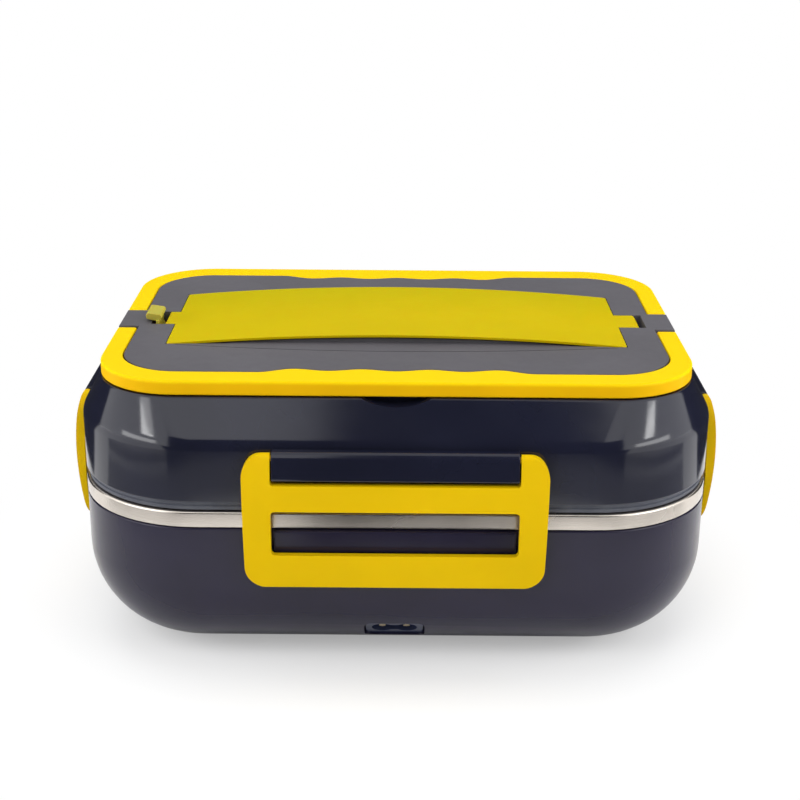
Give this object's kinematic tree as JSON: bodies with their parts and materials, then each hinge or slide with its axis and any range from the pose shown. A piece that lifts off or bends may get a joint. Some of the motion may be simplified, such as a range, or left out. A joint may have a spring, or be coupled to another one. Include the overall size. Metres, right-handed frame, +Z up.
{
  "type": "electric lunch box",
  "caption": "Heated lunch box: lift-off lid held by snap latches, folding carry handles, cutlery tray under a hinged cover, and a steel container in a heated case.",
  "frame": {"origin": "on the table, under the middle of the case", "axes": "+X to the right along the long side, +Z up, the front with the power inlet faces -Y"},
  "size_m": [0.2376, 0.1746, 0.1098],
  "materials": {
    "case_plastic": "satin dark violet-grey moulded plastic",
    "cover_plastic": "fine-textured black-grey plastic",
    "foot_rubber": "soft matte black rubber",
    "screw_steel": "zinc-plated screw",
    "liner_plastic": "heat-resistant grey plastic",
    "heater_metal": "bare aluminium plate",
    "ceramic": "insulated ceramic heating element",
    "bracket_steel": "pressed sheet steel",
    "thermostat_brown": "brown phenolic body",
    "fuse_white": "white ceramic fuse",
    "insulation": "woven glass-fibre sheet",
    "inlet_plastic": "glossy dark blue plastic",
    "pin_brass": "plated contact pins",
    "lead_red": "silicone-sleeved leads",
    "container_steel": "drawn stainless steel",
    "lid_plastic": "glossy dark violet-grey plastic",
    "plate_plastic": "matte grey plastic",
    "inner_lid_plastic": "heat-resistant grey plastic",
    "gasket_silicone": "grey silicone",
    "handle_yellow": "satin yellow plastic",
    "cover_yellow": "slightly translucent yellow plastic",
    "thumb_yellow": "pale yellow plastic",
    "latch_yellow": "satin yellow plastic"
  },
  "bodies": {
    "base": {"outer_case": "case_plastic", "bottom_cover": "cover_plastic", "rubber_feet": "foot_rubber", "bottom_screws": "screw_steel", "inner_liner": "liner_plastic", "heater_plate": "heater_metal", "ptc_heater": "ceramic", "heater_bracket": "bracket_steel", "heater_screws": "screw_steel", "thermostat": "thermostat_brown", "thermal_fuse": "fuse_white", "insulation_sheet": "insulation", "power_inlet": "inlet_plastic", "inlet_pins": "pin_brass", "power_leads": "lead_red"},
    "container": {"steel_container": "container_steel"},
    "lid": {"lid_shell": "lid_plastic", "top_plate": "plate_plastic", "inner_lid": "inner_lid_plastic", "lid_gasket": "gasket_silicone", "lid_screws": "screw_steel"},
    "front_handle": {"front_handle": "handle_yellow"},
    "rear_handle": {"rear_handle": "handle_yellow"},
    "cutlery_cover": {"cutlery_cover": "cover_yellow"},
    "cover_latch": {"cover_latch": "thumb_yellow"},
    "front_latch": {"front_latch": "latch_yellow"},
    "right_latch": {"right_latch": "latch_yellow"},
    "rear_latch": {"rear_latch": "latch_yellow"},
    "left_latch": {"left_latch": "latch_yellow"}
  },
  "joints": [
    {"name": "lid_lift", "type": "slide", "parent": "base", "child": "lid", "axis": [0, 0, 1], "range_m": [0, 0.16]},
    {"name": "container_lift", "type": "slide", "parent": "base", "child": "container", "axis": [0, 0, 1], "range_m": [0, 0.07]},
    {"name": "front_handle_hinge", "type": "hinge", "parent": "lid", "child": "front_handle", "pos_m": [0, -0.0133, 0.1034], "axis": [-1, 0, 0], "range_deg": [0, 100]},
    {"name": "rear_handle_hinge", "type": "hinge", "parent": "lid", "child": "rear_handle", "pos_m": [0, 0.0133, 0.1034], "axis": [1, 0, 0], "range_deg": [0, 100]},
    {"name": "cutlery_cover_hinge", "type": "hinge", "parent": "lid", "child": "cutlery_cover", "pos_m": [0.0898, 0, 0.1042], "axis": [0, -1, 0], "range_deg": [-95, 0]},
    {"name": "cover_latch_flex", "type": "hinge", "parent": "cutlery_cover", "child": "cover_latch", "pos_m": [-0.0882, 0, 0.1015], "axis": [0, 1, 0], "range_deg": [0, 6], "stiffness_Nm_per_rad": 0.03},
    {"name": "front_latch_hinge", "type": "hinge", "parent": "lid", "child": "front_latch", "pos_m": [0, -0.0832, 0.0827], "axis": [-1, 0, 0], "range_deg": [0, 125]},
    {"name": "right_latch_hinge", "type": "hinge", "parent": "lid", "child": "right_latch", "pos_m": [0.1147, 0, 0.0827], "axis": [0, -1, 0], "range_deg": [0, 125]},
    {"name": "rear_latch_hinge", "type": "hinge", "parent": "lid", "child": "rear_latch", "pos_m": [0, 0.0832, 0.0827], "axis": [1, 0, 0], "range_deg": [0, 125]},
    {"name": "left_latch_hinge", "type": "hinge", "parent": "lid", "child": "left_latch", "pos_m": [-0.1147, 0, 0.0827], "axis": [0, 1, 0], "range_deg": [0, 125]}
  ],
  "couplings": [
    {"joint": "container_lift", "follows": "lid_lift", "ratio": 0.4375}
  ]
}
